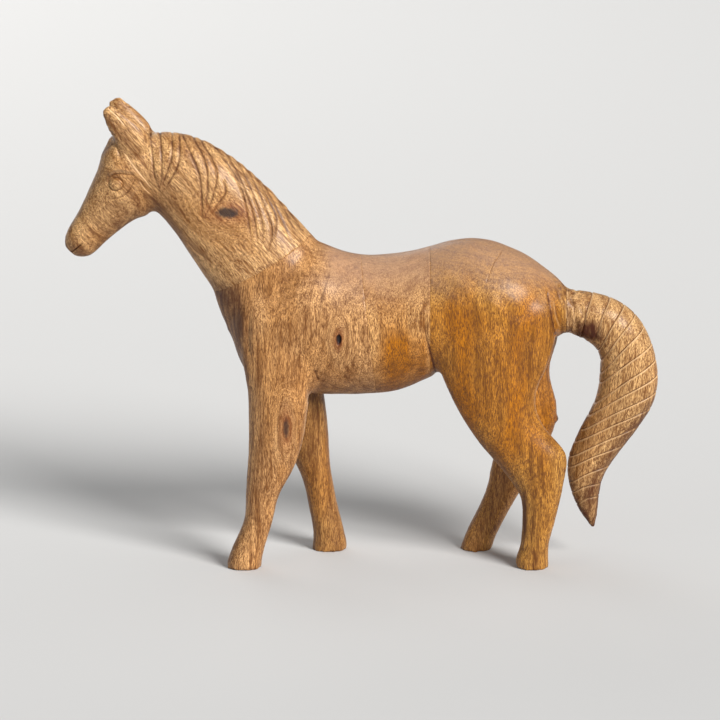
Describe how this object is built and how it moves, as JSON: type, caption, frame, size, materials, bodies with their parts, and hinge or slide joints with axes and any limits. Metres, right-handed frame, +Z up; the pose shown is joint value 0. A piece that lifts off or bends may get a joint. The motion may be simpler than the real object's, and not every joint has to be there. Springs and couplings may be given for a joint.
{
  "type": "carved wooden horse figurine",
  "caption": "Standing carved hardwood foal with grooved mane and curved grooved tail, glued up from several blocks, clear lacquered.",
  "frame": {"origin": "centre of the bounding box on the plane the four hooves stand on", "axes": "+X from nose to tail, +Y from the foal's left side to its right side, +Z up"},
  "size_m": [0.5632, 0.1126, 0.4497],
  "materials": {
    "neck_wood": "carved hardwood, figured grain, thin satin clear lacquer, pale tan, dark knots",
    "shoulder_wood": "carved hardwood, figured grain, thin satin clear lacquer, speckled tan brown",
    "barrel_wood": "carved hardwood, figured grain, thin satin clear lacquer, tan to orange brown",
    "haunch_wood": "carved hardwood, figured grain, thin satin clear lacquer, orange brown, streaked",
    "tail_wood": "carved hardwood, figured grain, thin satin clear lacquer, pale pinkish tan, open grooves",
    "dowel_wood": "plain turned hardwood, unfinished"
  },
  "bodies": {
    "root": {"head_neck_block": "neck_wood", "left_forequarter": "shoulder_wood", "right_forequarter": "shoulder_wood", "barrel_block": "barrel_wood", "left_hindquarter": "haunch_wood", "right_hindquarter": "haunch_wood", "tail_block": "tail_wood", "neck_dowels": "dowel_wood", "shoulder_dowels": "dowel_wood", "flank_dowels": "dowel_wood", "tail_dowel": "dowel_wood", "chest_cross_dowels": "dowel_wood", "rump_cross_dowels": "dowel_wood"}
  },
  "joints": []
}
